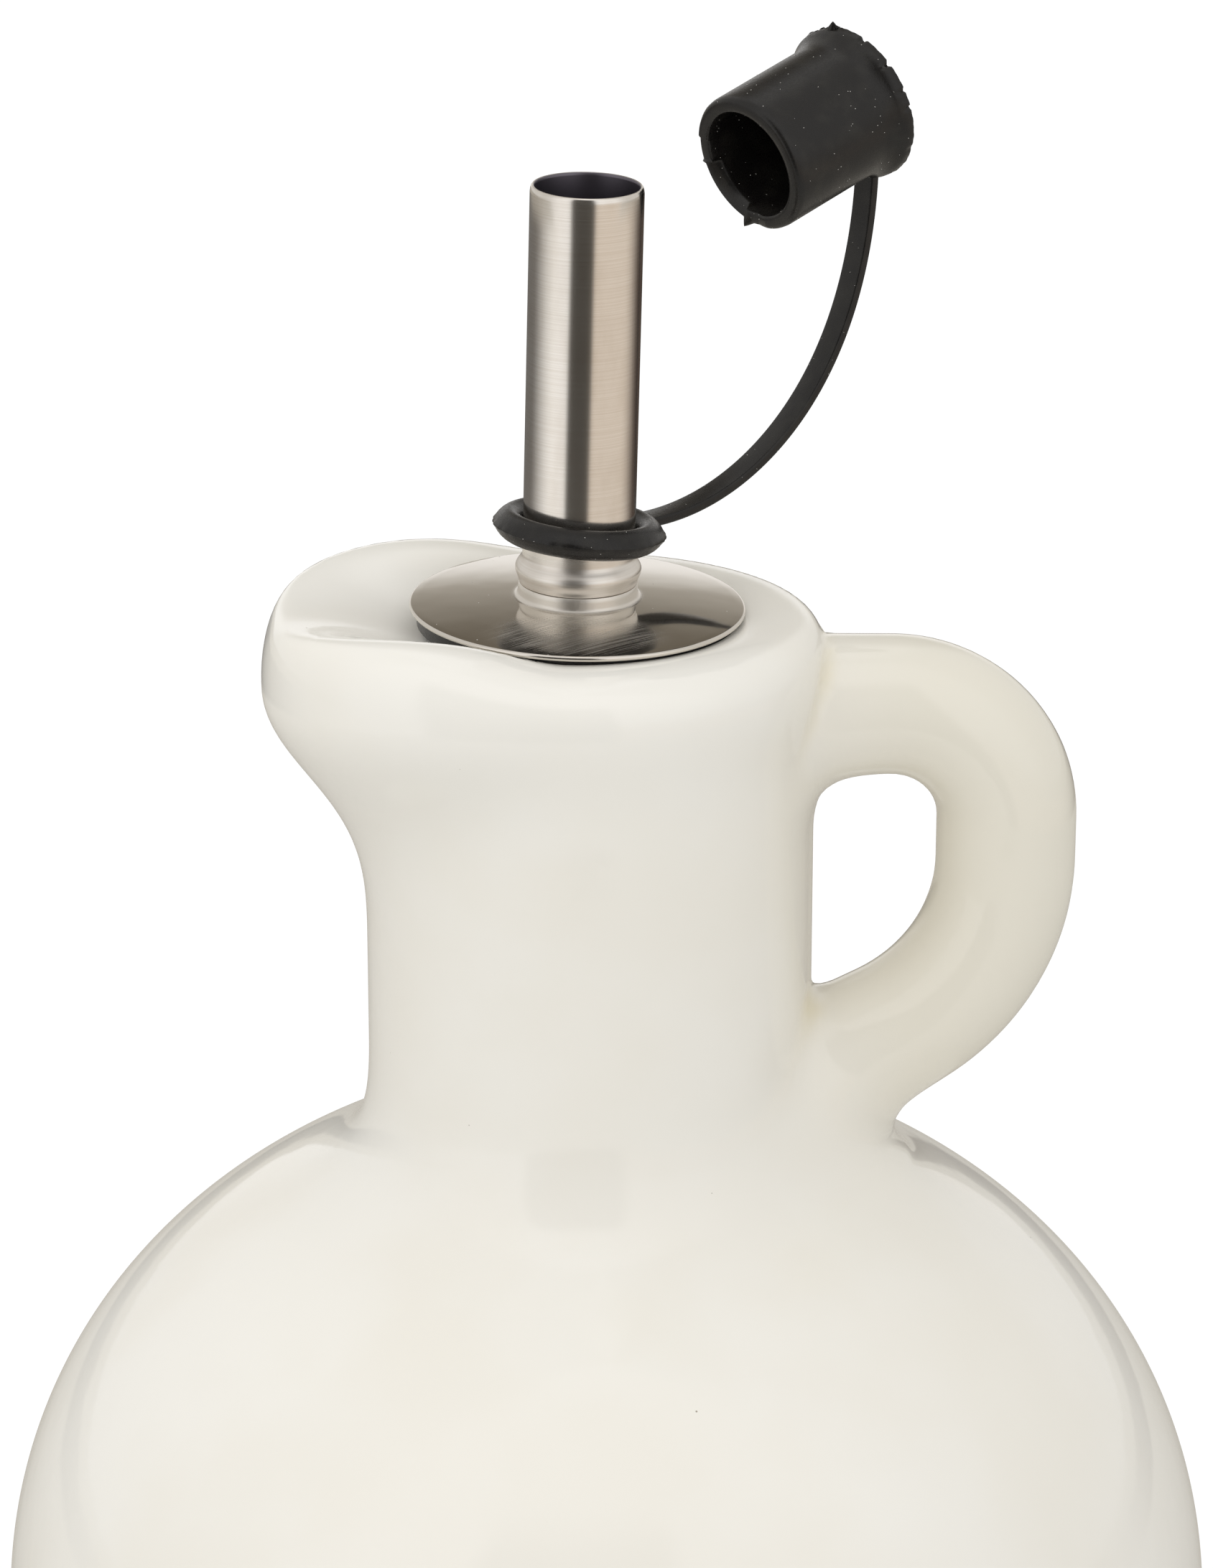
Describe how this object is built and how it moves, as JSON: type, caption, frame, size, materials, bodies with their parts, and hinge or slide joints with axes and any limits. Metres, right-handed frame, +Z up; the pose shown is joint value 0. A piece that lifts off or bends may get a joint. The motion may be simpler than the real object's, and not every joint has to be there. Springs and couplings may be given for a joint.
{
  "type": "oil cruet",
  "caption": "Round-bodied glazed ceramic oil cruet with a loop handle and beaked collar, and a push-in steel pouring spout with a tethered rubber cap.",
  "frame": {"origin": "middle of the foot, on the surface that the cruet stands on", "axes": "+Z up, +X towards the handle, -X towards the beak"},
  "size_m": [0.1126, 0.1126, 0.1879],
  "materials": {
    "glaze": "glossy ivory glaze",
    "stopper_rubber": "matt black",
    "polished_steel": "polished, with fine radial scratches",
    "brushed_steel": "satin, brushed around the tube",
    "cap_rubber": "satin black moulded rubber"
  },
  "bodies": {
    "bottle": {"bottle": "glaze"},
    "pourer": {"stopper": "stopper_rubber", "flange_disc": "polished_steel", "spout_tube": "brushed_steel"},
    "cap": {"tethered_cap": "cap_rubber"}
  },
  "joints": [
    {"name": "pourer_lift", "type": "slide", "parent": "bottle", "child": "pourer", "axis": [0.0244, 0, 0.9997], "range_m": [0, 0.04]},
    {"name": "cap_swivel", "type": "hinge", "parent": "pourer", "child": "cap", "pos_m": [-0.0026, 0, 0.14017], "axis": [0.0244, 0, 0.9997], "continuous": true}
  ]
}
